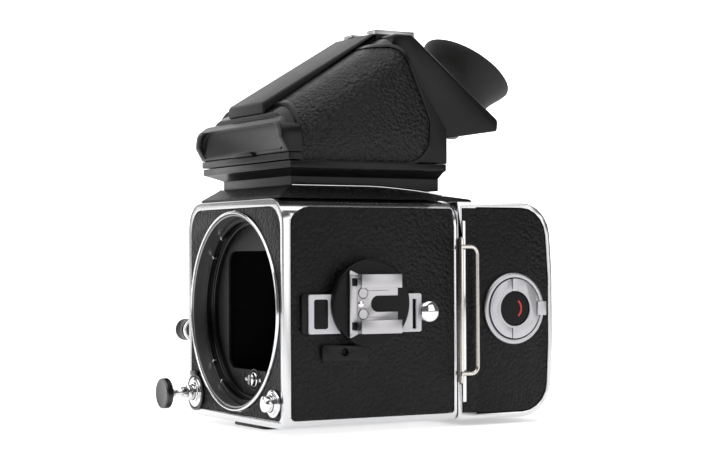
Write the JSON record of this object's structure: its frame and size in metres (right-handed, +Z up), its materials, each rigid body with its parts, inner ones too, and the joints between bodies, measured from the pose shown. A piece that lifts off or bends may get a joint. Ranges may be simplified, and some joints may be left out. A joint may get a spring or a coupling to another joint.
{
  "type": "medium format reflex camera body",
  "caption": "Cube-shaped reflex camera body with an open lens mount, removable roll-film magazine with darkslide, 45-degree prism finder, side accessory shoe and winding crank.",
  "frame": {"origin": "centre of the tripod foot's underside, between its two sockets", "axes": "+Z up, +Y towards the film magazine (the lens mount faces -Y), +X towards the side with the accessory shoe and the darkslide"},
  "size_m": [0.1166, 0.1485, 0.1654],
  "materials": {
    "satin_chrome_alloy": "satin chrome plated light alloy",
    "bright_chrome": "polished",
    "grey_satin_alloy": "satin grey",
    "light_grey_alloy": "brushed",
    "dark_steel": "blackened",
    "black_alloy": "semi-matt black enamel",
    "black_inside": "matt black lining",
    "black_leather": "fine pebbled grain",
    "black_plastic": "matt",
    "slide_steel": "warm stainless",
    "black_rubber": "soft matt",
    "clear_glass": "polished",
    "mirror_glass": "front-silvered"
  },
  "bodies": {
    "camera_body": {"body_shell": "satin_chrome_alloy", "front_leather": "black_leather", "left_leather": "black_leather", "right_leather": "black_leather", "mount_ring": "bright_chrome", "mount_well": "grey_satin_alloy", "bayonet_ring": "dark_steel", "front_baffle": "grey_satin_alloy", "mirror_box": "black_inside", "focusing_screen": "clear_glass", "rear_plate": "black_alloy", "lens_lock_plate": "bright_chrome", "release_plate": "bright_chrome", "flash_socket_plate": "black_alloy", "side_rail": "black_alloy", "adaptor_plate": "light_grey_alloy", "adaptor_disc": "black_alloy", "accessory_shoe": "light_grey_alloy", "tripod_foot": "black_alloy", "finder_fairing": "black_alloy", "left_strap_stud": "bright_chrome", "right_strap_stud": "bright_chrome"},
    "drive_shaft": {"drive_shaft": "bright_chrome"},
    "mirror": {"mirror": "mirror_glass"},
    "upper_flap": {"upper_flap": "black_inside"},
    "lower_flap": {"lower_flap": "black_inside"},
    "lens_lock_button": {"lens_lock_button": "bright_chrome"},
    "release": {"release_button": "bright_chrome", "release_extension": "dark_steel"},
    "time_lever": {"time_lever": "bright_chrome"},
    "winding_crank": {"winding_crank": "bright_chrome"},
    "crank_knob": {"crank_knob": "black_plastic"},
    "magazine": {"magazine_shell": "satin_chrome_alloy", "magazine_leather": "black_leather", "magazine_strip_leather": "black_leather", "pressure_plate": "black_inside"},
    "magazine_catch": {"magazine_catch": "black_alloy"},
    "film_crank": {"film_crank": "bright_chrome"},
    "darkslide": {"darkslide_blade": "slide_steel", "darkslide_handle": "slide_steel"},
    "insert": {"insert_cover": "black_alloy", "insert_leather": "black_leather", "film_key_ring": "light_grey_alloy", "film_key_dial": "black_alloy"},
    "supply_spool": {"supply_spool": "black_plastic"},
    "take_up_spool": {"take_up_spool": "black_plastic"},
    "film_key": {"film_key_disc": "light_grey_alloy"},
    "film_key_flap": {"film_key_flap": "light_grey_alloy"},
    "finder": {"finder_base": "black_alloy", "prism_housing": "black_alloy", "glass_prism": "clear_glass", "left_prism_leather": "black_leather", "right_prism_leather": "black_leather", "finder_front": "black_alloy", "roof_spine": "black_alloy", "finder_shoe": "light_grey_alloy", "eyepiece_block": "black_alloy", "eyepiece_tube": "dark_steel", "eyepiece_lens": "clear_glass", "eyecup": "black_rubber"}
  },
  "joints": [
    {"name": "mirror_swing", "type": "hinge", "parent": "camera_body", "child": "mirror", "pos_m": [0, 0.0305, 0.0784], "axis": [1, 0, 0], "range_deg": [0, 45], "stiffness_Nm_per_rad": 0.03, "springref_deg": -34.38},
    {"name": "upper_flap_swing", "type": "hinge", "parent": "camera_body", "child": "upper_flap", "pos_m": [0, 0.0353, 0.0746], "axis": [1, 0, 0], "range_deg": [0, 90]},
    {"name": "lower_flap_swing", "type": "hinge", "parent": "camera_body", "child": "lower_flap", "pos_m": [0, 0.0353, 0.021], "axis": [1, 0, 0], "range_deg": [-90, 0]},
    {"name": "winding_crank_turn", "type": "hinge", "parent": "camera_body", "child": "winding_crank", "pos_m": [-0.0445, -0.012, 0.0477], "axis": [-1, 0, 0], "range_deg": [-360, 0]},
    {"name": "drive_shaft_turn", "type": "hinge", "parent": "camera_body", "child": "drive_shaft", "pos_m": [0, -0.031, 0.0192], "axis": [0, 1, 0], "range_deg": [-360, 0]},
    {"name": "crank_knob_spin", "type": "hinge", "parent": "winding_crank", "child": "crank_knob", "pos_m": [-0.0522, -0.03455, 0.03813], "axis": [-1, 0, 0], "continuous": true},
    {"name": "release_press", "type": "slide", "parent": "camera_body", "child": "release", "axis": [0, 1, 0], "range_m": [0, 0.003], "stiffness_N_per_m": 250, "springref_m": -0.0015},
    {"name": "time_lever_turn", "type": "hinge", "parent": "camera_body", "child": "time_lever", "pos_m": [-0.0366, -0.04, 0.0123], "axis": [0, 1, 0], "range_deg": [-40, 0]},
    {"name": "lens_lock_press", "type": "slide", "parent": "camera_body", "child": "lens_lock_button", "axis": [0, 1, 0], "range_m": [0, 0.0025], "stiffness_N_per_m": 250, "springref_m": -0.0015},
    {"name": "magazine_detach", "type": "slide", "parent": "camera_body", "child": "magazine", "axis": [0, 1, 0], "range_m": [0, 0.06]},
    {"name": "magazine_catch_slide", "type": "slide", "parent": "magazine", "child": "magazine_catch", "axis": [-1, 0, 0], "range_m": [0, 0.004], "stiffness_N_per_m": 150, "springref_m": -0.0015},
    {"name": "film_crank_turn", "type": "hinge", "parent": "magazine", "child": "film_crank", "pos_m": [-0.0445, 0.0624, 0.0677], "axis": [-1, 0, 0], "continuous": true},
    {"name": "darkslide_pull", "type": "slide", "parent": "magazine", "child": "darkslide", "axis": [1, 0, 0], "range_m": [0, 0.07]},
    {"name": "insert_pull", "type": "slide", "parent": "magazine", "child": "insert", "axis": [1, 0, 0], "range_m": [0, 0.085]},
    {"name": "supply_spool_turn", "type": "hinge", "parent": "insert", "child": "supply_spool", "pos_m": [0, 0.0677, 0.023], "axis": [1, 0, 0], "continuous": true},
    {"name": "take_up_spool_turn", "type": "hinge", "parent": "insert", "child": "take_up_spool", "pos_m": [0, 0.0677, 0.0724], "axis": [1, 0, 0], "continuous": true},
    {"name": "film_key_turn", "type": "hinge", "parent": "insert", "child": "film_key", "pos_m": [0.0448, 0.0677, 0.048], "axis": [1, 0, 0], "range_deg": [0, 90]},
    {"name": "film_key_flap_lift", "type": "hinge", "parent": "film_key", "child": "film_key_flap", "pos_m": [0.0464, 0.0661, 0.048], "axis": [0, 0, -1], "range_deg": [0, 90]},
    {"name": "finder_slide", "type": "slide", "parent": "camera_body", "child": "finder", "axis": [0, 1, 0], "range_m": [0, 0.075]}
  ],
  "couplings": [
    {"joint": "upper_flap_swing", "follows": "mirror_swing", "ratio": 2},
    {"joint": "lower_flap_swing", "follows": "mirror_swing", "ratio": -2},
    {"joint": "drive_shaft_turn", "follows": "winding_crank_turn", "ratio": 1},
    {"joint": "take_up_spool_turn", "follows": "film_crank_turn", "ratio": -1}
  ]
}
